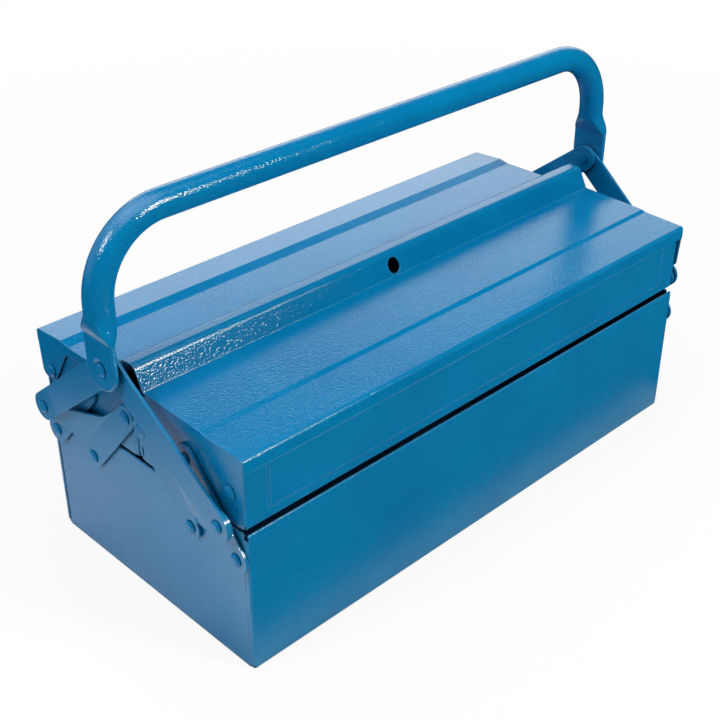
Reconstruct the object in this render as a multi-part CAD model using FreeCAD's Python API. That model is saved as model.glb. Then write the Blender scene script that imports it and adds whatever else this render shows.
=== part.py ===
import FreeCAD, Part
import math
import os

# Steel tool box with a deep bottom box, two lidded trays that fold outwards, and a tube handle.
# Millimetres. X runs along the box, Y from front to rear, Z up.
# The origin is the middle of the underside. Rear is +Y, left is -X.

# Sheet metal
sheet = 0.8
bend_inside = 0.8
safe_edge_height = 7.0
corner_lip_width = 3.4
corner_lip_foot = 3.0
corner_lip_head = 4.0
corner_notch_gap = 0.6
panel_recess = 0.25
joggle_run = 0.6
joggle_margin = 0.3
floor_tab_height = 4.5
floor_tab_inset = 6.0

# Bottom box
box_length = 430.0
box_width = 206.4
box_height = 104.8

# Trays
tray_lift = 3.5
tray_depth = 48.0
tray_middle_gap = 0.8
tray_wall_step = 1.3
tray_end_rise = 1.3
emboss_end_margin = 18.0
emboss_floor_margin = 7.2
emboss_rim_margin = 7.2
emboss_depth = 0.7
emboss_bevel = 1.4

# Lids
lid_end_gap = 0.5
lid_overhang = 1.5
lid_rise_over_rim = 3.1
lid_flange_depth = 9.5
lid_bend_inside = 1.8
front_crease_setback = 34.6
front_crease_width = 3.4
front_outer_rise = 1.0
front_crease_rise = 1.1
front_inner_rise = 1.4
rear_crease_setback = 28.4
rear_crease_width = 9.0
rear_outer_rise = 2.0
rear_crease_rise = -1.6
rear_inner_rise = 0.4
ridge_foot_y = 13.2
ridge_face_run = 8.2
ridge_height = 15.6
ridge_fall = 0.4
ridge_radius = 5.0
ridge_lip_radius = 2.2
ridge_lip_y = 7.0
ridge_lip_drop = 3.6
ridge_gap = 0.5
rear_ridge_foot_y = 18.0
rear_ridge_top_drop = 1.8
end_flange_inner_depth = 4.6
end_flange_outer_depth = 7.0
end_flange_start = 1.2
padlock_hole_diameter = 10.6
padlock_hole_height = 10.0

# Lid hinge and its ears
hinge_setback = 9.9
hinge_height = 24.0
ear_inner_top_run = 20.5
ear_inner_foot_run = 6.0
ear_foot_run = 2.6
ear_foot_drop = 7.2
ear_outer_run = 10.9
ear_corner_radius = 2.5
ear_outer_radius = 5.0

# Fold linkage
box_pivot_setback = 8.7
box_pivot_drop = 20.3
tray_pivot_setback = 8.1
tray_pivot_height = 26.7
arm_pivot_setback = 14.2
arm_pivot_rise = 5.8
handle_pivot_rise = 76.4
link_thickness = 2.0
link_width = 19.0
crank_lobe_radius = 8.4
arm_lobe_radius = 9.6
crank_bend_start = 9.5
crank_bend_end = 35.5
crank_step = 5.9
crank_notch_run = 9.5
crank_notch_rise = 8.0
crank_web_run = 17.6
crank_web_rise = 4.0
crank_waist_run = 25.5
crank_waist_drop = 11.6
crank_waist_radius = 14.0
crank_notch_radius = 3.0
crank_head_rise = 3.0
arm_width = 20.0
arm_splay = 3.4
arm_flat_length = 15.0

# Gaps outside the end walls
wall_gap = 0.4
plate_gap = 0.3

# Rivets
rivet_radius = 2.5
rivet_clearance = 0.05
rivet_head_radius = 4.5
rivet_head_height = 1.5
rivet_head_rim = 0.5
rivet_crown_radius = 2.6
rivet_tail_radius = 3.6
rivet_tail_height = 0.9
spacer_radius = 6.5

# Handle
tube_diameter = 18.6
tube_wall = 1.2
handle_leg_offset = 16.2
handle_bend_radius = 48.0
leg_straight_length = 4.0
flat_width = 28.6
flat_thickness = 4.0
flat_edge_radius = 1.5
dimple_radius = 7.4
dimple_floor_radius = 5.2
dimple_depth = 1.0
flat_length_above_pivot = 21.0
flat_shoulder_length = 17.0
shoulder_steps = 4

# Sizes worked out from the ones above
end_x = box_length / 2
half_width = box_width / 2
bend_outside = bend_inside + sheet
panel_x = end_x - panel_recess
tray_floor_z = box_height + tray_lift
tray_rim_z = tray_floor_z + tray_depth
tray_outer_y = half_width - tray_wall_step
tray_inner_y = tray_middle_gap / 2
lid_edge_z = tray_rim_z + lid_rise_over_rim
lid_inside_x = end_x + lid_end_gap
lid_outside_x = lid_inside_x + sheet
lid_outer_y = half_width + lid_overhang
ridge_foot_z = lid_edge_z + front_outer_rise + front_crease_rise + front_inner_rise
ridge_top_z = ridge_foot_z + ridge_height
ridge_lip_top_z = ridge_top_z - ridge_fall
padlock_hole_z = lid_edge_z + padlock_hole_height
hinge_y = tray_outer_y - hinge_setback
hinge_z = tray_floor_z + hinge_height
pivot_box_z = box_height - box_pivot_drop
pivot_tray_z = tray_floor_z + tray_pivot_height
pivot_outer_box_y = half_width - box_pivot_setback
pivot_inner_tray_y = tray_inner_y + tray_pivot_setback
pivot_span_y = (pivot_outer_box_y - pivot_inner_tray_y) / 2
pivot_inner_box_y = pivot_outer_box_y - pivot_span_y
pivot_outer_tray_y = pivot_inner_box_y
arm_pivot_y = half_width - arm_pivot_setback
arm_pivot_z = box_height + arm_pivot_rise
handle_pivot_z = box_height + handle_pivot_rise
hole_radius = rivet_radius + rivet_clearance
link_in = end_x + wall_gap
link_out = link_in + link_thickness
lobe_in = link_in + crank_step
lobe_out = lobe_in + link_thickness
inner_arm_in = lobe_out + plate_gap
inner_arm_out = inner_arm_in + link_thickness
outer_arm_in = inner_arm_out + plate_gap
outer_arm_out = outer_arm_in + link_thickness
flat_in = outer_arm_out + arm_splay + plate_gap
flat_out = flat_in + flat_thickness
flat_top_z = handle_pivot_z + flat_length_above_pivot
leg_foot_z = flat_top_z + flat_shoulder_length
leg_x = end_x + handle_leg_offset
handle_bend_z = leg_foot_z + leg_straight_length
handle_top_z = handle_bend_z + handle_bend_radius

LEFT = -1
RIGHT = 1
FRONT = -1
REAR = 1

parts = {}


def vec(x, y, z):
    return FreeCAD.Vector(x, y, z)


def in_yz(x):
    """Places a (y, z) point in the plane at x."""
    return lambda p: vec(x, p[0], p[1])


def in_xy(z):
    """Places an (x, y) point in the plane at z."""
    return lambda p: vec(p[0], p[1], z)


def in_xz(y):
    """Places an (x, z) point in the plane at y."""
    return lambda p: vec(p[0], y, p[1])


def unit(a, b):
    length = math.hypot(b[0] - a[0], b[1] - a[1])
    return ((b[0] - a[0]) / length, (b[1] - a[1]) / length)


def turn(before, after):
    """Signed angle between two directions, positive to the left."""
    cross = before[0] * after[1] - before[1] * after[0]
    dot = before[0] * after[0] + before[1] * after[1]
    return math.atan2(cross, dot)


def corner_round(previous, corner, following, radius):
    """Start, middle and end of the arc that rounds a corner."""
    before = unit(previous, corner)
    after = unit(corner, following)
    angle = turn(before, after)
    reach = radius * math.tan(abs(angle) / 2)
    start = (corner[0] - before[0] * reach, corner[1] - before[1] * reach)
    end = (corner[0] + after[0] * reach, corner[1] + after[1] * reach)
    side = 1 if angle > 0 else -1
    centre = (start[0] - side * before[1] * radius, start[1] + side * before[0] * radius)
    out = unit(centre, corner)
    middle = (centre[0] + out[0] * radius, centre[1] + out[1] * radius)
    return start, middle, end


def path_edges(points, radii, place, closed):
    """Straight runs joined by arcs, through corners with the given radii."""
    count = len(points)
    stops = []
    for i, point in enumerate(points):
        is_end = not closed and (i == 0 or i == count - 1)
        if is_end or radii[i] == 0:
            stops.append((point, None, point))
        else:
            stops.append(corner_round(points[i - 1], point, points[(i + 1) % count], radii[i]))
    edges = []
    for i, (start, middle, end) in enumerate(stops):
        if middle is not None:
            edges.append(Part.Arc(place(start), place(middle), place(end)).toShape())
        if i + 1 < count or closed:
            following = stops[(i + 1) % count][0]
            if place(end).distanceToPoint(place(following)) > 1e-6:
                edges.append(Part.makeLine(place(end), place(following)))
    return edges


def outline_face(points, radii, place):
    return Part.Face(Part.Wire(path_edges(points, radii, place, True)))


def parallel_path(points, distance):
    """The same path, moved to its left, with mitred corners."""
    moved = []
    for i, point in enumerate(points):
        before = unit(points[max(i - 1, 0)], points[max(i, 1)])
        last = len(points) - 1
        after = unit(points[min(i, last - 1)], points[min(i + 1, last)])
        normal = (-before[1] - after[1], before[0] + after[0])
        scale = distance * 2 / (normal[0] ** 2 + normal[1] ** 2)
        moved.append((point[0] + normal[0] * scale, point[1] + normal[1] * scale))
    return moved


def bent_sheet_wire(points, thickness, inside_radii, place):
    """Outline of a bent sheet's section. The points lie on its right-hand surface."""
    count = len(points)
    near = [0] * count
    far = [0] * count
    for i in range(1, count - 1):
        angle = turn(unit(points[i - 1], points[i]), unit(points[i], points[i + 1]))
        near[i] = inside_radii[i] + (thickness if angle > 0 else 0)
        far[i] = inside_radii[i] + (0 if angle > 0 else thickness)
    other = parallel_path(points, thickness)
    edges = path_edges(points, near, place, False)
    edges.append(Part.makeLine(place(points[-1]), place(other[-1])))
    edges += path_edges(other[::-1], far[::-1], place, False)
    edges.append(Part.makeLine(place(other[0]), place(points[0])))
    return Part.Wire(edges)


def bent_sheet_face(points, thickness, inside_radii, place):
    return Part.Face(bent_sheet_wire(points, thickness, inside_radii, place))


def block(x0, x1, y0, y1, z0, z1):
    low = vec(min(x0, x1), min(y0, y1), min(z0, z1))
    return Part.makeBox(abs(x1 - x0), abs(y1 - y0), abs(z1 - z0), low)


def joined(shapes):
    """One clean solid from shapes that meet."""
    result = shapes[0].fuse(shapes[1:]) if len(shapes) > 1 else shapes[0]
    return result.removeSplitter()


def pin_hole(y, z, radius=None):
    """A round cutter along X through both ends of the box."""
    reach = flat_out * 2
    size = hole_radius if radius is None else radius
    return Part.makeCylinder(size, reach * 2, vec(-reach, y, z), vec(1, 0, 0))


def at_end(shape, side):
    """A piece drawn for the right end, moved to the left end if need be."""
    if side == RIGHT:
        return shape
    return shape.mirror(vec(0, 0, 0), vec(1, 0, 0))


def at_row(shape, row):
    """A piece drawn for the rear, moved to the front if need be."""
    if row == REAR:
        return shape
    return shape.mirror(vec(0, 0, 0), vec(0, 1, 0))


def safe_edge(face_points, place, direction):
    """The folded strip along a rim, drawn as its closed section."""
    radii = [0, 0, sheet * 0.96, sheet * 0.96]
    return outline_face(face_points, radii, place).extrude(direction)


def tub_shell(y0, y1, z0, z1):
    """Front wall, floor and rear wall bent from one sheet, with lips round the four corners."""
    wall_end = end_x - bend_outside
    u_path = [(y0, z1 - sheet), (y0, z0), (y1, z0), (y1, z1 - sheet)]
    bends = [0, bend_inside, bend_inside, 0]
    pieces = [bent_sheet_face(u_path, sheet, bends, in_yz(-wall_end)).extrude(vec(wall_end * 2, 0, 0))]
    for wall_y, inward in ((y0, 1), (y1, -1)):
        fold_y = wall_y + inward * sheet * 2
        fold_z = z1 - safe_edge_height
        strip = [(wall_y, fold_z), (fold_y, fold_z), (fold_y, z1), (wall_y, z1)]
        pieces.append(safe_edge(strip, in_yz(-wall_end), vec(wall_end * 2, 0, 0)))
        for side in (LEFT, RIGHT):
            lip = [(side * (wall_end - sheet), wall_y), (side * end_x, wall_y)]
            lip.append((side * end_x, wall_y + inward * corner_lip_width))
            if side * inward < 0:
                lip.reverse()
            section = bent_sheet_face(lip, sheet, [0, bend_inside, 0], in_xy(z0 + corner_lip_foot))
            height = z1 - z0 - corner_lip_foot - corner_lip_head
            pieces.append(section.extrude(vec(0, 0, height)))
    tab_x = panel_x - sheet
    tab_start = tab_x - bend_outside - sheet
    for side in (LEFT, RIGHT):
        tab = [(side * tab_start, z0), (side * tab_x, z0), (side * tab_x, z0 + floor_tab_height)]
        if side == LEFT:
            tab.reverse()
        section = bent_sheet_face(tab, sheet, [0, bend_inside, 0], in_xz(y0 + floor_tab_inset))
        pieces.append(section.extrude(vec(0, y1 - y0 - 2 * floor_tab_inset, 0)))
    return joined(pieces)


def tub_end(y0, y1, z0, z1, rise, holes):
    """Right end wall. Its margins step inwards behind the lips of the shell."""
    margin_x = end_x - sheet
    first = y0 + bend_outside
    last = y1 - bend_outside
    step0 = y0 + corner_lip_width + joggle_margin
    step1 = y1 - corner_lip_width - joggle_margin
    inner0 = step0 + joggle_run
    inner1 = step1 - joggle_run
    path = [(margin_x, first), (margin_x, step0), (panel_x, inner0), (panel_x, inner1), (margin_x, step1)]
    path.append((margin_x, last))
    top = z1 + rise
    wall = bent_sheet_face(path, sheet, [0] * len(path), in_xy(z0)).extrude(vec(0, 0, top - z0 - sheet))
    notch_foot = z1 - corner_lip_head - corner_notch_gap
    for notch0, notch1 in ((y0, step0), (step1, y1)):
        wall = wall.cut(block(end_x, end_x - safe_edge_height, notch0, notch1, notch_foot, top))
    fold_x = panel_x - sheet * 2
    fold_z = top - safe_edge_height
    strip = [(panel_x, fold_z), (fold_x, fold_z), (fold_x, top), (panel_x, top)]
    strip_start = inner0 + sheet
    rim = safe_edge(strip, in_xz(strip_start), vec(0, y1 + y0 - 2 * strip_start, 0))
    wall = joined([wall, rim])
    return wall.cut([pin_hole(y, z) for y, z in holes])


def emboss(outer_y, z0, z1, depth_from, inset):
    """A bevelled rectangular panel that stands out of a wall facing +Y."""
    half = end_x - emboss_end_margin - inset
    low = z0 + emboss_floor_margin + inset
    high = z1 - emboss_rim_margin - inset
    base = outer_y - depth_from
    top = outer_y + emboss_depth - depth_from
    loops = []
    for y, shrink in ((base, 0), (top, emboss_bevel)):
        x = half - shrink
        corners = [(-x, low + shrink), (x, low + shrink), (x, high - shrink), (-x, high - shrink)]
        points = [vec(c[0], y, c[1]) for c in corners]
        loops.append(Part.makePolygon(points + [points[0]]))
    return Part.makeLoft(loops, True, True)


def make_bottom_box():
    spots = [(row * y, pivot_box_z) for row in (FRONT, REAR) for y in (pivot_inner_box_y, pivot_outer_box_y)]
    parts["bottom_shell"] = tub_shell(-half_width, half_width, 0, box_height)
    end = tub_end(-half_width, half_width, 0, box_height, 0, spots)
    parts["bottom_right_end"] = end
    parts["bottom_left_end"] = at_end(end, LEFT)


def make_trays():
    spots = [(pivot_inner_tray_y, pivot_tray_z), (pivot_outer_tray_y, pivot_tray_z), (hinge_y, hinge_z)]
    shell = tub_shell(tray_inner_y, tray_outer_y, tray_floor_z, tray_rim_z)
    shell = shell.fuse(emboss(tray_outer_y, tray_floor_z, tray_rim_z, 0, 0))
    shell = shell.cut(emboss(tray_outer_y, tray_floor_z, tray_rim_z, sheet, sheet / 2)).removeSplitter()
    end = tub_end(tray_inner_y, tray_outer_y, tray_floor_z, tray_rim_z, tray_end_rise, spots)
    for row, name in ((FRONT, "front"), (REAR, "rear")):
        parts[name + "_tray_shell"] = at_row(shell, row)
        parts[name + "_tray_right_end"] = at_row(end, row)
        parts[name + "_tray_left_end"] = at_row(at_end(end, LEFT), row)


def lid_path(setback, width, rises, foot_y):
    """Top surface of a lid from its outer flange to the foot of the ridge, rear side."""
    crease_y = lid_outer_y - setback
    path = [(lid_outer_y, lid_edge_z - lid_flange_depth), (lid_outer_y, lid_edge_z)]
    path.append((crease_y, lid_edge_z + rises[0]))
    path.append((crease_y - width, lid_edge_z + rises[0] + rises[1]))
    path.append((foot_y, lid_edge_z + sum(rises)))
    return path


def end_flange(top_line):
    """Right end flange of a lid with its hinge ear, rear side. The line lies in the top sheet."""
    inner_y = top_line[-1][0]
    corners = [(p, 0) for p in top_line]
    corners[1] = (top_line[1], lid_bend_inside + sheet / 2)
    corners.append(((inner_y, lid_edge_z - end_flange_inner_depth), 0))
    corners.append(((hinge_y - ear_inner_top_run, lid_edge_z - end_flange_outer_depth), ear_corner_radius))
    corners.append(((hinge_y - ear_inner_foot_run, hinge_z - ear_foot_run), ear_corner_radius))
    corners.append(((hinge_y - ear_foot_run, hinge_z - ear_foot_drop), ear_corner_radius))
    corners.append(((hinge_y + ear_outer_run, hinge_z - ear_foot_drop), ear_outer_radius))
    outline = [p for p, radius in corners]
    radii = [radius for p, radius in corners]
    plate = outline_face(outline, radii, in_yz(lid_inside_x)).extrude(vec(sheet, 0, 0))
    return plate.cut(pin_hole(hinge_y, hinge_z))


def lid_solid(path, bends, flange):
    """Top sheet of one section along its whole length, with the end flanges."""
    section = bent_sheet_face(path, sheet, bends, in_yz(-lid_outside_x))
    top = section.extrude(vec(lid_outside_x * 2, 0, 0))
    return joined([top, flange, at_end(flange, LEFT)])


def flange_line(path, inner_y):
    """Line inside the top sheet at the lid's end, from the outer flange inwards."""
    line = [(lid_outer_y - sheet / 2, path[0][1]), (lid_outer_y - sheet / 2, lid_edge_z - sheet / 2)]
    line += [(y, z - sheet / 2) for y, z in path[2:4]]
    before, foot = line[-1], (path[4][0], path[4][1] - sheet / 2)
    share = (before[0] - inner_y) / (before[0] - foot[0])
    line.append((inner_y, before[1] + (foot[1] - before[1]) * share))
    return line


def padlock_hole():
    reach = rear_ridge_foot_y * 2
    start = vec(0, -reach, padlock_hole_z)
    return Part.makeCylinder(padlock_hole_diameter / 2, reach * 2, start, vec(0, 1, 0))


def make_lids():
    rises = [front_outer_rise, front_crease_rise, front_inner_rise]
    path = lid_path(front_crease_setback, front_crease_width, rises, ridge_foot_y)
    flange = end_flange(flange_line(path, ridge_foot_y + end_flange_start))
    path.append((ridge_foot_y - ridge_face_run, ridge_top_z))
    path.append((-ridge_lip_y, ridge_lip_top_z))
    path.append((-ridge_lip_y, ridge_lip_top_z - ridge_lip_drop))
    bends = [0, lid_bend_inside] + [bend_inside] * 3 + [ridge_radius, ridge_lip_radius, 0]
    lid = lid_solid(path, bends, flange)
    parts["front_lid"] = at_row(lid, FRONT).cut(padlock_hole())

    rises = [rear_outer_rise, rear_crease_rise, rear_inner_rise]
    path = lid_path(rear_crease_setback, rear_crease_width, rises, rear_ridge_foot_y)
    upstand_top = (ridge_lip_y + sheet + ridge_gap, ridge_lip_top_z - rear_ridge_top_drop)
    line = flange_line(path, rear_ridge_foot_y)
    flange = end_flange(line + [(upstand_top[0] + sheet / 2, upstand_top[1] - sheet / 2)])
    path.append(upstand_top)
    bends = [0, lid_bend_inside] + [bend_inside] * 3 + [0]
    parts["rear_lid"] = lid_solid(path, bends, flange).cut(padlock_hole())


def bar_face(a, b, radius, x):
    """A flat bar with round ends between two pivots, as a face at x."""
    along = unit(a, b)
    side = (-along[1] * radius, along[0] * radius)
    back = (-along[0] * radius, -along[1] * radius)
    place = in_yz(x)
    corners = []
    for point, sign in ((a, 1), (b, -1)):
        corners.append((point[0] + sign * side[0], point[1] + sign * side[1]))
        corners.append((point[0] + sign * back[0], point[1] + sign * back[1]))
        corners.append((point[0] - sign * side[0], point[1] - sign * side[1]))
    edges = [
        Part.Arc(place(corners[0]), place(corners[1]), place(corners[2])).toShape(),
        Part.makeLine(place(corners[2]), place(corners[3])),
        Part.Arc(place(corners[3]), place(corners[4]), place(corners[5])).toShape(),
        Part.makeLine(place(corners[5]), place(corners[0])),
    ]
    return Part.Face(Part.Wire(edges))


def flat_bar(a, b, radius, x0, x1):
    """A bar plate with a rivet hole at each end."""
    bar = bar_face(a, b, radius, x0).extrude(vec(x1 - x0, 0, 0))
    return bar.cut([pin_hole(a[0], a[1]), pin_hole(b[0], b[1])])


def make_links():
    foot = (pivot_outer_box_y, pivot_box_z)
    head = (pivot_outer_tray_y, pivot_tray_z)
    link = flat_bar(foot, head, link_width / 2, link_in, link_out)
    for row, row_name in ((FRONT, "front"), (REAR, "rear")):
        for side, side_name in ((LEFT, "left"), (RIGHT, "right")):
            parts[side_name + "_" + row_name + "_link"] = at_row(at_end(link, side), row)


def stepped_plate(outline, steps, origin, run):
    """A plate of the outline, bent so that its inner face passes through the (distance, x) steps."""
    reach = box_length
    side = (-run[1], run[0])

    def place(p):
        y = origin[0] + run[0] * p[1] - side[0] * reach
        z = origin[1] + run[1] * p[1] - side[1] * reach
        return vec(p[0], y, z)

    path = [(x, distance) for distance, x in [(-reach, steps[0][1])] + steps + [(reach, steps[-1][1])]]
    bends = [0] + [link_thickness] * len(steps) + [0]
    band = bent_sheet_face(path[::-1], link_thickness, bends, place)
    band = band.extrude(vec(0, side[0] * reach * 2, side[1] * reach * 2))
    depth = steps[-1][1] - steps[0][1] + link_thickness
    return outline.extrude(vec(depth, 0, 0)).common(band)


def crank_outline():
    """Flat outline of the three-pivot crank, rear side, as one face."""
    foot = (pivot_inner_box_y, pivot_box_z)
    head = (pivot_inner_tray_y, pivot_tray_z)
    lobe = (arm_pivot_y, arm_pivot_z)
    body = bar_face(head, foot, crank_lobe_radius, link_in)
    across = unit(foot, lobe)
    lower = (lobe[0] + across[1] * arm_lobe_radius, lobe[1] - across[0] * arm_lobe_radius)
    upper = (lobe[0] - across[1] * arm_lobe_radius / 2, lobe[1] + across[0] * arm_lobe_radius)
    corners = [((foot[0] + crank_notch_run, foot[1] + crank_notch_rise), crank_notch_radius)]
    corners += [(lower, 0), (lobe, 0), (upper, 0)]
    corners.append(((lobe[0] - crank_web_run, lobe[1] + crank_web_rise), crank_waist_radius))
    corners.append(((head[0] + crank_waist_run, head[1] - crank_waist_drop), crank_waist_radius))
    head_rim = math.sqrt(crank_lobe_radius ** 2 - crank_head_rise ** 2)
    corners.append(((head[0] + head_rim, head[1] + crank_head_rise), 0))
    corners += [(head, 0), (foot, 0)]
    web = [p for p, radius in corners]
    radii = [radius for p, radius in corners]
    plate = outline_face(web, radii, in_yz(link_in))
    rim = Part.makeCircle(arm_lobe_radius, vec(link_in, lobe[0], lobe[1]), vec(1, 0, 0))
    return body.fuse([plate, Part.Face(Part.Wire(rim))]).removeSplitter()


def make_cranks():
    """The crank's outer lobe is bent outwards, over the link and its rivets."""
    foot = (pivot_inner_box_y, pivot_box_z)
    head = (pivot_inner_tray_y, pivot_tray_z)
    along = unit(foot, head)
    steps = [(crank_bend_start, link_in), (crank_bend_end, lobe_in)]
    crank = stepped_plate(crank_outline(), steps, foot, (along[1], -along[0]))
    crank = crank.cut([pin_hole(y, z) for y, z in (foot, head, (arm_pivot_y, arm_pivot_z))])
    for row, row_name in ((FRONT, "front"), (REAR, "rear")):
        for side, side_name in ((LEFT, "left"), (RIGHT, "right")):
            parts[side_name + "_" + row_name + "_crank"] = at_row(at_end(crank, side), row)


def arm_layer(side, row):
    """Inner face of an arm at its lower pivot. The front arm is the inner one on the left."""
    return inner_arm_in if side == row else outer_arm_in


def make_arms():
    """Each arm is bent outwards, from the crank to the wider handle."""
    top = (0, handle_pivot_z)
    foot = (arm_pivot_y, arm_pivot_z)
    length = math.hypot(top[0] - foot[0], top[1] - foot[1])
    for row, row_name in ((FRONT, "front"), (REAR, "rear")):
        for side, side_name in ((LEFT, "left"), (RIGHT, "right")):
            x = arm_layer(side, row)
            steps = [(arm_flat_length, x), (length - arm_flat_length, x + arm_splay)]
            arm = stepped_plate(bar_face(foot, top, arm_width / 2, x), steps, foot, unit(foot, top))
            arm = arm.cut([pin_hole(y, z) for y, z in (foot, top)])
            parts[side_name + "_" + row_name + "_arm"] = at_row(at_end(arm, side), row)


def rivet_head(y, z, x):
    """A low crowned head that starts at x and faces outwards."""
    rim = disc(y, z, x, x + rivet_head_rim, rivet_head_radius)
    height = rivet_head_height - rivet_head_rim
    place = vec(x + rivet_head_rim, y, z)
    return rim.fuse(Part.makeCone(rivet_head_radius, rivet_crown_radius, height, place, vec(1, 0, 0)))


def disc(y, z, x0, x1, radius):
    return Part.makeCylinder(radius, x1 - x0, vec(x0, y, z), vec(1, 0, 0))


def ring(y, z, x0, x1, radius):
    return disc(y, z, x0, x1, radius).cut(pin_hole(y, z))


def tail(y, z, face):
    """The upset end of a rivet, and its shank through one plate."""
    upset = disc(y, z, face - rivet_tail_height, face, rivet_tail_radius)
    return joined([upset, disc(y, z, face, face + link_thickness, rivet_radius)])


def rivet(y, z, tail_face, head_face):
    """Headed pin from the face that its tail bears on to the face under its head."""
    shank = disc(y, z, tail_face, head_face, rivet_radius)
    return joined([tail(y, z, tail_face), shank, rivet_head(y, z, head_face)])


def both_ends(shape):
    return [at_end(shape, LEFT), at_end(shape, RIGHT)]


def make_rivets():
    wall_face = panel_x - sheet
    link_head = link_out + plate_gap
    ear_head = lid_outside_x + plate_gap
    inner_pin = rivet(pivot_inner_box_y, pivot_box_z, wall_face, link_head)
    outer_pin = rivet(pivot_outer_box_y, pivot_box_z, wall_face, link_head)
    box_pins = both_ends(inner_pin) + both_ends(outer_pin)
    parts["box_pivot_rivets"] = Part.makeCompound(box_pins + [at_row(pin, FRONT) for pin in box_pins])
    inner_pin = rivet(pivot_inner_tray_y, pivot_tray_z, wall_face, link_head)
    outer_pin = rivet(pivot_outer_tray_y, pivot_tray_z, wall_face, link_head)
    hinge_pin = rivet(hinge_y, hinge_z, wall_face, ear_head)
    for row, name in ((FRONT, "front"), (REAR, "rear")):
        tray_pins = [at_row(pin, row) for pin in both_ends(inner_pin) + both_ends(outer_pin)]
        hinge_pins = [at_row(pin, row) for pin in both_ends(hinge_pin)]
        parts[name + "_tray_pivot_rivets"] = Part.makeCompound(tray_pins)
        parts[name + "_lid_hinge_rivets"] = Part.makeCompound(hinge_pins)


def make_arm_rivets():
    """Rivets of the arms. The front ones are parted between arm and crank."""
    y, z = arm_pivot_y, arm_pivot_z
    rear_pins = []
    front_pins = []
    front_tails = []
    for side in (LEFT, RIGHT):
        rear_head = arm_layer(side, REAR) + link_thickness + plate_gap
        rear_pins.append(at_end(rivet(y, z, lobe_in, rear_head), side))
        front_head = arm_layer(side, FRONT) + link_thickness + plate_gap
        shank = disc(y, z, lobe_out + plate_gap, front_head, rivet_radius)
        pin = joined([shank, rivet_head(y, z, front_head)])
        front_pins.append(at_row(at_end(pin, side), FRONT))
        front_tails.append(at_row(at_end(tail(y, z, lobe_in), side), FRONT))
    spacer = ring(y, z, lobe_out + plate_gap, outer_arm_in, spacer_radius)
    parts["rear_arm_rivets"] = Part.makeCompound(rear_pins)
    parts["front_arm_rivets"] = Part.makeCompound(front_pins)
    parts["front_crank_rivet_tails"] = Part.makeCompound(front_tails)
    parts["rear_arm_spacer"] = at_end(spacer, LEFT)
    parts["front_arm_spacer"] = at_row(spacer, FRONT)


def make_handle_rivets():
    inner_face = inner_arm_in + arm_splay - plate_gap
    pin = rivet(0, handle_pivot_z, inner_face, flat_out - dimple_depth + plate_gap)
    parts["handle_rivets"] = Part.makeCompound(both_ends(pin))


def tube_section(x, z, half_x, half_y):
    """Level section of the tube, from round to broad, as four arcs."""
    corner = math.radians(45)
    side_x = half_x * math.sin(corner) ** (half_x / half_y)
    side_y = half_y - half_x * (1 - math.cos(corner))
    marks = [(side_x, -side_y), (side_x, side_y), (-side_x, side_y), (-side_x, -side_y)]
    crests = [(half_x, 0), (0, half_y), (-half_x, 0), (0, -half_y)]
    edges = []
    for i in range(4):
        start, middle, end = [vec(x + p[0], p[1], z) for p in (marks[i], crests[i], marks[(i + 1) % 4])]
        edges.append(Part.Arc(start, middle, end).toShape())
    return Part.Wire(edges)


def bent_tube(radius):
    """Solid rod along the handle's middle line: grip, two bends and two legs."""
    bend_x = leg_x - handle_bend_radius
    grip = Part.makeCylinder(radius, bend_x * 2, vec(-bend_x, 0, handle_top_z), vec(1, 0, 0))
    disc_edge = Part.makeCircle(radius, vec(bend_x, 0, handle_top_z), vec(1, 0, 0))
    start = Part.Face(Part.Wire(disc_edge))
    bend = start.revolve(vec(bend_x, 0, handle_bend_z), vec(0, 1, 0), 90)
    leg = Part.makeCylinder(radius, leg_straight_length, vec(leg_x, 0, leg_foot_z), vec(0, 0, 1))
    return joined([grip, bend, leg, at_end(bend, LEFT), at_end(leg, LEFT)])


def shoulder():
    """Right-hand stretch in which the round tube turns into the flat end."""
    radius = tube_diameter / 2
    flat_mid = (flat_in + flat_out) / 2
    sections = []
    for i in range(shoulder_steps + 1):
        share = i / shoulder_steps
        swell = math.sin(share * math.pi / 2)
        narrow = share * share * (3 - 2 * share)
        x = flat_mid + (leg_x - flat_mid) * narrow
        z = flat_top_z + flat_shoulder_length * share
        half_x = flat_thickness / 2 + (radius - flat_thickness / 2) * swell
        half_y = flat_width / 2 + (radius - flat_width / 2) * narrow
        sections.append(tube_section(x, z, half_x, half_y))
    return Part.makeLoft(sections, True, False)


def flat_end():
    """The squeezed end, with a half-round foot about the pivot and rounded edges."""
    half = flat_width / 2
    place = in_yz(flat_in)
    foot = Part.Arc(
        place((half, handle_pivot_z)),
        place((0, handle_pivot_z - half)),
        place((-half, handle_pivot_z)),
    ).toShape()
    corners = [(-half, handle_pivot_z), (-half, flat_top_z), (half, flat_top_z), (half, handle_pivot_z)]
    lines = [Part.makeLine(place(corners[i]), place(corners[i + 1])) for i in range(3)]
    flat = Part.Face(Part.Wire([foot] + lines)).extrude(vec(flat_thickness, 0, 0))
    boxes = [(edge, edge.BoundBox) for edge in flat.Edges]
    rim = [edge for edge, box in boxes if box.XLength < sheet and box.ZMin < flat_top_z - sheet]
    flat = flat.makeFillet(flat_edge_radius, rim)
    foot_point = vec(flat_out - dimple_depth, 0, handle_pivot_z)
    dimple = Part.makeCone(dimple_floor_radius, dimple_radius, dimple_depth, foot_point, vec(1, 0, 0))
    return flat.cut([dimple, pin_hole(0, handle_pivot_z)])


def make_handle():
    """Tube bent twice, with its ends squeezed flat and closed."""
    end = joined([shoulder(), flat_end()])
    outside = joined([bent_tube(tube_diameter / 2), end, at_end(end, LEFT)])
    parts["handle"] = outside.cut(bent_tube(tube_diameter / 2 - tube_wall))


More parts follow.
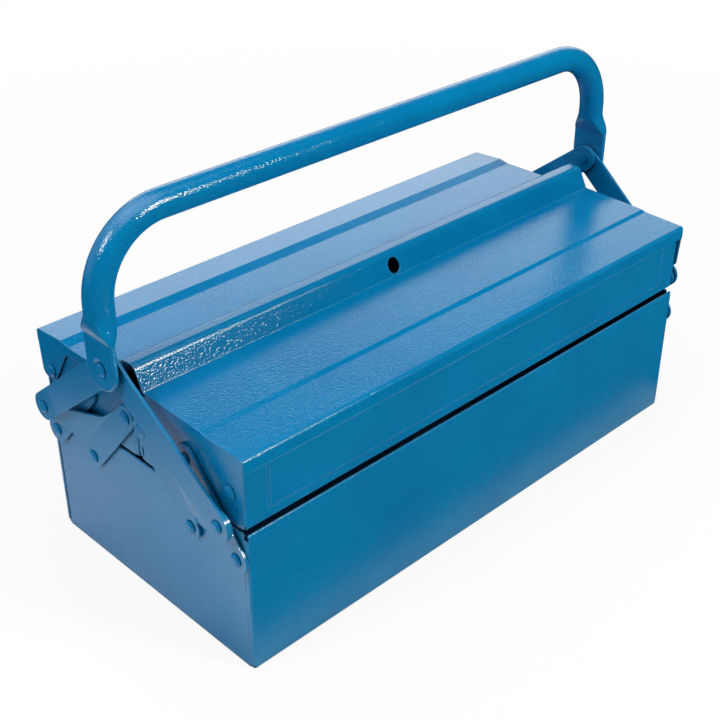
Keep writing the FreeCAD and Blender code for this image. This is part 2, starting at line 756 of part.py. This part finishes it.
def main():
    make_bottom_box()
    make_trays()
    make_lids()
    make_links()
    make_cranks()
    make_arms()
    make_rivets()
    make_arm_rivets()
    make_handle_rivets()
    make_handle()
    os.makedirs("parts", exist_ok=True)
    for name, shape in parts.items():
        box = shape.BoundBox
        print(name, len(shape.Solids), round(shape.Volume / 1000, 2), "cm3", shape.isValid(), box)
        shape.exportStep("parts/" + name + ".step")


main()
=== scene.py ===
import bpy
import math
from mathutils import Matrix, Vector


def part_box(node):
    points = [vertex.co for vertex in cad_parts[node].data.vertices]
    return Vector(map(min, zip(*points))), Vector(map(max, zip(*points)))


# Enamel, floor, light and camera of the steel tool box. All its shapes are the CAD nodes.
# Metres, +X right, +Y rear, +Z up.

# Camera, at the photograph's viewing angle
CAMERA_AZIMUTH = math.radians(-44.34)
CAMERA_ELEVATION = math.radians(31.32)
CAMERA_PLACE = Vector((-0.56506, -0.55442, 0.56973))
CAMERA_LENS = 63.17
CAMERA_SENSOR = 36.0
CAMERA_NEAR = 0.01

# Enamel, as linear colour
ENAMEL_BLUE = (0.001, 0.208, 0.455, 1)
ENAMEL_DEEP = (0.0005, 0.165, 0.395, 1)
# Pale tone laid along edges: partly thin enamel from wear, partly a painted highlight
ENAMEL_THIN_AND_HIGHLIGHT = (0.100, 0.350, 0.610, 1)
# Near-black blue laid into crevices as painted shade
ENAMEL_PAINTED_SHADE = (0.0004, 0.030, 0.075, 1)
ENAMEL_IOR = 1.6

# Sizes of what varies over the enamel
CLOUD_SIZE = 0.060
SPECK_SIZE = 0.0016
FLECK_SIZE = 0.0018
EDGE_BREAKUP_SIZE = 0.012
SWELL_SIZE = 0.025
SWELL_DEPTH = 0.0004
CREVICE_REACH = 0.0035

# Share of the pale edge tone (partly thin enamel from wear, partly a painted highlight), the least of it where
# the edge breakup is low, and the share of painted shade in a crevice
THIN_AND_HIGHLIGHT_SHARE = 0.7
THIN_AND_HIGHLIGHT_LEAST = 0.45
PAINTED_SHADE_SHARE = 0.75

# Dot product of a rounded normal and the flat one where a face ends and its edge begins
FACE_DOT = 0.999

# White backdrop, and the floor's tone: as it lights the box, and at its darkest and palest in reflections
WHITE = (1.0, 1.0, 1.0, 1)
FLOOR_TONE = (0.82, 0.82, 0.82, 1)
FLOOR_MIRRORED_DARK = (0.004, 0.004, 0.004, 1)
FLOOR_MIRRORED_PALE = (0.85, 0.85, 0.85, 1)
FLOOR_HALF = 6.0
FLOOR_DROP = 0.0002

# In reflections the floor shows a painted pool of light, which fades in from the first to the second distance
# from the box's middle, and a paler rim of painted light lies within this reach of the box
POOL_EDGE = (0.42, 0.30)
RIM_REACH = 0.032
RIM_SHARE = 0.7

# The camera sees this share of plain white on the floor, and more between these distances from the box's middle
GLOW_NEAR = 0.88
GLOW_DISTANCES = (0.35, 1.20)

# Level directions from the box towards the dark sides of the floor and of the room
DARK_FLOOR = (0.55, -0.83, 0.0)
DARK_ROOM = (0.0, -1.0, 0.0)

# Strength of the room in its dark and pale parts, and the rise of a direction from dark down to pale
ROOM_STRENGTH = (0.01, 0.42)
ROOM_RISE = (0.62, 0.48)

# The lamps aim at the middle of the shut box
LAMP_TARGET = Vector((0, 0, 0.12))


def node(tree, kind, **values):
    """A shader node with its options set by attribute and its inputs by name, a space written as _."""
    made = tree.nodes.new(kind)
    for key, value in values.items():
        if hasattr(made, key):
            setattr(made, key, value)
        else:
            made.inputs[key.replace("_", " ")].default_value = value
    return made


def cleared(owner):
    """The emptied node tree of a new material or world."""
    owner.use_nodes = True
    owner.node_tree.nodes.clear()
    return owner.node_tree


def ramp(tree, source, low, high):
    """Maps a factor from the range low to high on to 0 to 1."""
    made = node(tree, "ShaderNodeMapRange", From_Min=low, From_Max=high)
    tree.links.new(source, made.inputs["Value"])
    return made.outputs["Result"]


def scaled(tree, source, low, high):
    """Maps a factor from 0 to 1 on to the range low to high."""
    made = node(tree, "ShaderNodeMapRange", To_Min=low, To_Max=high)
    tree.links.new(source, made.inputs["Value"])
    return made.outputs["Result"]


def joined(tree, operation, first, second):
    """Two factors put together by a mathematical operation."""
    made = node(tree, "ShaderNodeMath", operation=operation)
    tree.links.new(first, made.inputs[0])
    tree.links.new(second, made.inputs[1])
    return made.outputs["Value"]


def tinted(tree, factor, under, over):
    """The colour under with the colour over laid on it by a factor. Each is a plain colour or a socket."""
    made = node(tree, "ShaderNodeMix", data_type="RGBA")
    for side, colour in (("A", under), ("B", over)):
        if isinstance(colour, tuple):
            made.inputs[side].default_value = colour
        else:
            tree.links.new(colour, made.inputs[side])
    tree.links.new(factor, made.inputs["Factor"])
    return made.outputs["Result"]


def swapped(tree, share, first, second, output):
    """Joins two shaders by a share and gives them to the output."""
    made = node(tree, "ShaderNodeMixShader")
    tree.links.new(share, made.inputs["Fac"])
    tree.links.new(first, made.inputs[1])
    tree.links.new(second, made.inputs[2])
    tree.links.new(made.outputs["Shader"], output.inputs["Surface"])


def noise(tree, coords, size, detail=2.0, roughness=0.5, distortion=0.0):
    """Noise whose grains are about the given size."""
    made = node(
        tree, "ShaderNodeTexNoise", Scale=1 / size, Detail=detail, Roughness=roughness, Distortion=distortion
    )
    tree.links.new(coords, made.inputs["Vector"])
    return made.outputs["Fac"]


def domes(tree, coords, size):
    """Orange peel: small domes side by side, each about the given size."""
    cells = node(tree, "ShaderNodeTexVoronoi", feature="F1", Scale=1 / size)
    tree.links.new(coords, cells.inputs["Vector"])
    bowl = joined(tree, "MULTIPLY", cells.outputs["Distance"], cells.outputs["Distance"])
    return ramp(tree, bowl, 1.0, 0.0)


def edge_mask(tree, rounding, full):
    """0 on faces and 1 along edges, where a rounded normal and the flat one have the dot product full."""
    bevel = node(tree, "ShaderNodeBevel", samples=4, Radius=rounding)
    geometry = node(tree, "ShaderNodeNewGeometry")
    dot = node(tree, "ShaderNodeVectorMath", operation="DOT_PRODUCT")
    tree.links.new(bevel.outputs["Normal"], dot.inputs[0])
    tree.links.new(geometry.outputs["True Normal"], dot.inputs[1])
    return ramp(tree, dot.outputs["Value"], FACE_DOT, full)


def crevice_shade_mask(tree, reach):
    """1 deep in crevices, where shade is painted, and 0 on open faces."""
    hollow = node(tree, "ShaderNodeAmbientOcclusion", samples=6, Distance=reach)
    return ramp(tree, hollow.outputs["AO"], 0.78, 0.30)


def bumped(tree, height, normal, depth, strength=1.0):
    """A normal bent by a height map."""
    made = node(tree, "ShaderNodeBump", Strength=strength, Distance=depth)
    tree.links.new(height, made.inputs["Height"])
    tree.links.new(normal, made.inputs["Normal"])
    return made.outputs["Normal"]


def enamel(name, peel_depth, grain, roughness, rounding, wear_and_highlight_dot=0.92, specular=0.5):
    """Glossy blue enamel with orange peel, paler along edges from thin enamel and a painted highlight, with
    painted shade darkening crevices, a little uneven in gloss.
    """
    material = bpy.data.materials.new(name)
    tree = cleared(material)
    output = node(tree, "ShaderNodeOutputMaterial")
    shader = node(tree, "ShaderNodeBsdfPrincipled", IOR=ENAMEL_IOR, Specular_IOR_Level=specular)
    tree.links.new(shader.outputs["BSDF"], output.inputs["Surface"])

    coords = node(tree, "ShaderNodeTexCoord").outputs["Object"]
    cloud = noise(tree, coords, CLOUD_SIZE, 3.0)
    speck = noise(tree, coords, SPECK_SIZE, 3.0, 0.6)
    peel = domes(tree, coords, grain)
    fleck = noise(tree, coords, FLECK_SIZE)
    swell = noise(tree, coords, SWELL_SIZE, 1.0)
    edge_breakup = noise(tree, coords, EDGE_BREAKUP_SIZE, 6.0, 0.7, 1.0)

    # Painted highlight with some wear: edges take a paler tone, broken up by noise
    edge = edge_mask(tree, rounding, wear_and_highlight_dot)
    rubbed_and_highlit = joined(tree, "MULTIPLY", edge, scaled(tree, ramp(tree, edge_breakup, 0.40, 0.66), THIN_AND_HIGHLIGHT_LEAST, 1.0))
    colour = tinted(tree, ramp(tree, cloud, 0.35, 0.70), ENAMEL_BLUE, ENAMEL_DEEP)
    colour = tinted(tree, ramp(tree, fleck, 0.72, 0.28), colour, ENAMEL_DEEP)
    colour = tinted(tree, scaled(tree, rubbed_and_highlit, 0.0, THIN_AND_HIGHLIGHT_SHARE), colour, ENAMEL_THIN_AND_HIGHLIGHT)
    # Painted shade: crevices found by ambient occlusion are darkened towards a near-black blue
    colour = tinted(tree, scaled(tree, crevice_shade_mask(tree, CREVICE_REACH), 0.0, PAINTED_SHADE_SHARE), colour, ENAMEL_PAINTED_SHADE)
    tree.links.new(colour, shader.inputs["Base Color"])

    gloss = node(tree, "ShaderNodeMath", operation="MULTIPLY_ADD")
    gloss.inputs[1].default_value = 0.6
    tree.links.new(ramp(tree, speck, 0.30, 0.70), gloss.inputs[0])
    tree.links.new(scaled(tree, cloud, 0.0, 0.4), gloss.inputs[2])
    tree.links.new(scaled(tree, gloss.outputs["Value"], *roughness), shader.inputs["Roughness"])

    round_edge = node(tree, "ShaderNodeBevel", samples=4, Radius=rounding)
    wave = bumped(tree, swell, round_edge.outputs["Normal"], SWELL_DEPTH, 0.25)
    tree.links.new(bumped(tree, peel, wave, peel_depth), shader.inputs["Normal"])
    return material


def finish_nodes():
    """Every CAD node takes the enamel of its kind."""
    sheet = enamel(
        "sheet_enamel", peel_depth=0.00009, grain=0.0012, roughness=(0.08, 0.18), rounding=0.0009, wear_and_highlight_dot=0.975
    )
    lid = enamel(
        "lid_enamel", peel_depth=0.000112, grain=0.0012, roughness=(0.05, 0.10), rounding=0.0009, wear_and_highlight_dot=0.955
    )
    lever = enamel(
        "linkage_enamel", peel_depth=0.00005, grain=0.0012, roughness=(0.12, 0.26), rounding=0.0005
    )
    tube = enamel(
        "handle_enamel", peel_depth=0.00014, grain=0.0014, roughness=(0.07, 0.12), rounding=0.0008
    )
    rivet = enamel(
        "rivet_enamel", peel_depth=0.00003, grain=0.0012, roughness=(0.12, 0.24), rounding=0.0003, specular=0.25
    )
    for name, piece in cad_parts.items():
        if "rivet" in name or "spacer" in name:
            material = rivet
        elif name.endswith(("_link", "_crank", "_arm")):
            material = lever
        elif name.endswith("_lid"):
            material = lid
        elif name == "handle":
            material = tube
        else:
            material = sheet
        piece.data.materials.clear()
        piece.data.materials.append(material)


def side_share(tree, vector, dark_side, low, high):
    """0 where a vector reaches low towards the dark side and 1 where it reaches high."""
    dot = node(tree, "ShaderNodeVectorMath", operation="DOT_PRODUCT")
    dot.inputs[1].default_value = dark_side
    tree.links.new(vector, dot.inputs[0])
    return ramp(tree, dot.outputs["Value"], low, high)


def near_box(tree, coords, reach):
    """1 on the floor next to the box and 0 from the given reach on."""
    away = node(tree, "ShaderNodeVectorMath", operation="ABSOLUTE")
    tree.links.new(coords, away.inputs[0])
    past = node(tree, "ShaderNodeVectorMath", operation="SUBTRACT")
    tree.links.new(away.outputs["Vector"], past.inputs[0])
    past.inputs[1].default_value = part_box("bottom_shell")[1]
    parts = node(tree, "ShaderNodeSeparateXYZ")
    tree.links.new(past.outputs["Vector"], parts.inputs["Vector"])
    furthest = joined(tree, "MAXIMUM", parts.outputs["X"], parts.outputs["Y"])
    return ramp(tree, furthest, reach, 0.0)


def floor_white():
    """Pale matt floor. Reflections see a painted pool of light round the box, open to the studio's pale side, and
    a painted dark floor elsewhere.
    """
    material = bpy.data.materials.new("floor_white")
    tree = cleared(material)
    output = node(tree, "ShaderNodeOutputMaterial")
    path = node(tree, "ShaderNodeLightPath")
    coords = node(tree, "ShaderNodeTexCoord").outputs["Object"]
    length = node(tree, "ShaderNodeVectorMath", operation="LENGTH")
    tree.links.new(coords, length.inputs[0])
    distance = length.outputs["Value"]

    # Painted reflection: glossy rays see a painted pale pool and rim near the box, and a painted dark floor
    # elsewhere
    pool = joined(
        tree, "MULTIPLY", side_share(tree, coords, DARK_FLOOR, 0.02, -0.10), ramp(tree, distance, *POOL_EDGE)
    )
    rim = scaled(tree, near_box(tree, coords, RIM_REACH), 0.0, RIM_SHARE)
    mirrored = tinted(tree, joined(tree, "MAXIMUM", pool, rim), FLOOR_MIRRORED_DARK, FLOOR_MIRRORED_PALE)
    matt = node(tree, "ShaderNodeBsdfDiffuse")
    tree.links.new(tinted(tree, path.outputs["Is Glossy Ray"], FLOOR_TONE, mirrored), matt.inputs["Color"])

    glow = node(tree, "ShaderNodeEmission", Color=WHITE, Strength=1.0)
    clear = scaled(tree, ramp(tree, distance, *GLOW_DISTANCES), GLOW_NEAR, 1.0)
    share = joined(tree, "MULTIPLY", path.outputs["Is Camera Ray"], clear)
    swapped(tree, share, matt.outputs["BSDF"], glow.outputs["Emission"], output)
    return material


def floor():
    """A wide pale floor under the box."""
    half = FLOOR_HALF
    mesh = bpy.data.meshes.new("floor")
    mesh.from_pydata([(-half, -half, 0), (half, -half, 0), (half, half, 0), (-half, half, 0)], [], [(0, 1, 2, 3)])
    piece = bpy.data.objects.new("floor", mesh)
    piece.data.materials.append(floor_white())
    piece.location.z = -FLOOR_DROP
    bpy.context.scene.collection.objects.link(piece)


def softbox(name, azimuth, elevation, distance, width, height, power, colour=(1, 1, 1)):
    """A soft area lamp on a sphere round the box. Azimuth 0 is the front and 90 the right end, in degrees."""
    lamp = bpy.data.lights.new(name, "AREA")
    lamp.shape = "RECTANGLE"
    lamp.size = width
    lamp.size_y = height
    lamp.energy = power
    lamp.color = colour
    turn, rise = math.radians(azimuth), math.radians(elevation)
    away = Vector((math.sin(turn) * math.cos(rise), -math.cos(turn) * math.cos(rise), math.sin(rise)))
    piece = bpy.data.objects.new(name, lamp)
    piece.location = LAMP_TARGET + away * distance
    piece.rotation_euler = (-away).to_track_quat("-Z", "Y").to_euler()
    bpy.context.scene.collection.objects.link(piece)


def studio():
    """The room round the box: dark but for a pale glow low at the rear, and plain white for the camera."""
    world = bpy.data.worlds.new("studio")
    tree = cleared(world)
    output = node(tree, "ShaderNodeOutputWorld")
    coords = node(tree, "ShaderNodeTexCoord").outputs["Generated"]
    height = node(tree, "ShaderNodeSeparateXYZ")
    tree.links.new(coords, height.inputs["Vector"])
    low = ramp(tree, height.outputs["Z"], *ROOM_RISE)
    pale = joined(tree, "MULTIPLY", side_share(tree, coords, DARK_ROOM, -0.05, -0.60), low)
    room = node(tree, "ShaderNodeBackground", Color=WHITE)
    tree.links.new(scaled(tree, pale, *ROOM_STRENGTH), room.inputs["Strength"])
    white = node(tree, "ShaderNodeBackground", Color=WHITE, Strength=1.0)
    path = node(tree, "ShaderNodeLightPath")
    swapped(
        tree, path.outputs["Is Camera Ray"], room.outputs["Background"], white.outputs["Background"], output
    )
    bpy.context.scene.world = world


def light():
    """Five soft lamps in a plain studio. The key lamp gives the ridge and the handle their sparkle."""
    softbox("rear_light", azimuth=137, elevation=16.5, distance=2.6, width=2.8, height=1.3, power=15.2)
    softbox("back_light", azimuth=204, elevation=60, distance=2.8, width=2.6, height=2.2, power=25)
    softbox(
        "key_light", azimuth=20, elevation=34, distance=2.2, width=0.5, height=0.5, power=30,
        colour=(1.0, 0.97, 0.84),
    )
    softbox("top_light", azimuth=-20, elevation=78, distance=2.0, width=1.8, height=1.8, power=18)
    softbox("left_light", azimuth=-93, elevation=42, distance=2.2, width=0.6, height=0.5, power=16)
    studio()


def camera():
    """The camera, placed and turned as the photograph's."""
    data = bpy.data.cameras.new("camera")
    data.lens = CAMERA_LENS
    data.sensor_width = CAMERA_SENSOR
    data.clip_start = CAMERA_NEAR
    piece = bpy.data.objects.new("camera", data)
    turn = Matrix.Rotation(CAMERA_AZIMUTH, 4, "Z")
    tilt = Matrix.Rotation(math.pi / 2 - CAMERA_ELEVATION, 4, "X")
    piece.matrix_world = Matrix.Translation(CAMERA_PLACE) @ turn @ tilt
    bpy.context.scene.collection.objects.link(piece)
    bpy.context.scene.camera = piece


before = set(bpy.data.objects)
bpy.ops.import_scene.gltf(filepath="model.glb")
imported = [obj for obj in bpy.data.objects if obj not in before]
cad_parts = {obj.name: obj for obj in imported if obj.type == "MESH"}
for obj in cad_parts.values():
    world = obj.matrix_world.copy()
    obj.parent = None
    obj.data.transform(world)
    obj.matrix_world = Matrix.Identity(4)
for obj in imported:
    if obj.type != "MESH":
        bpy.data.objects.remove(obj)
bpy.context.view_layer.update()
bpy.context.scene.view_settings.view_transform = "Standard"
camera()
light()
floor()
finish_nodes()
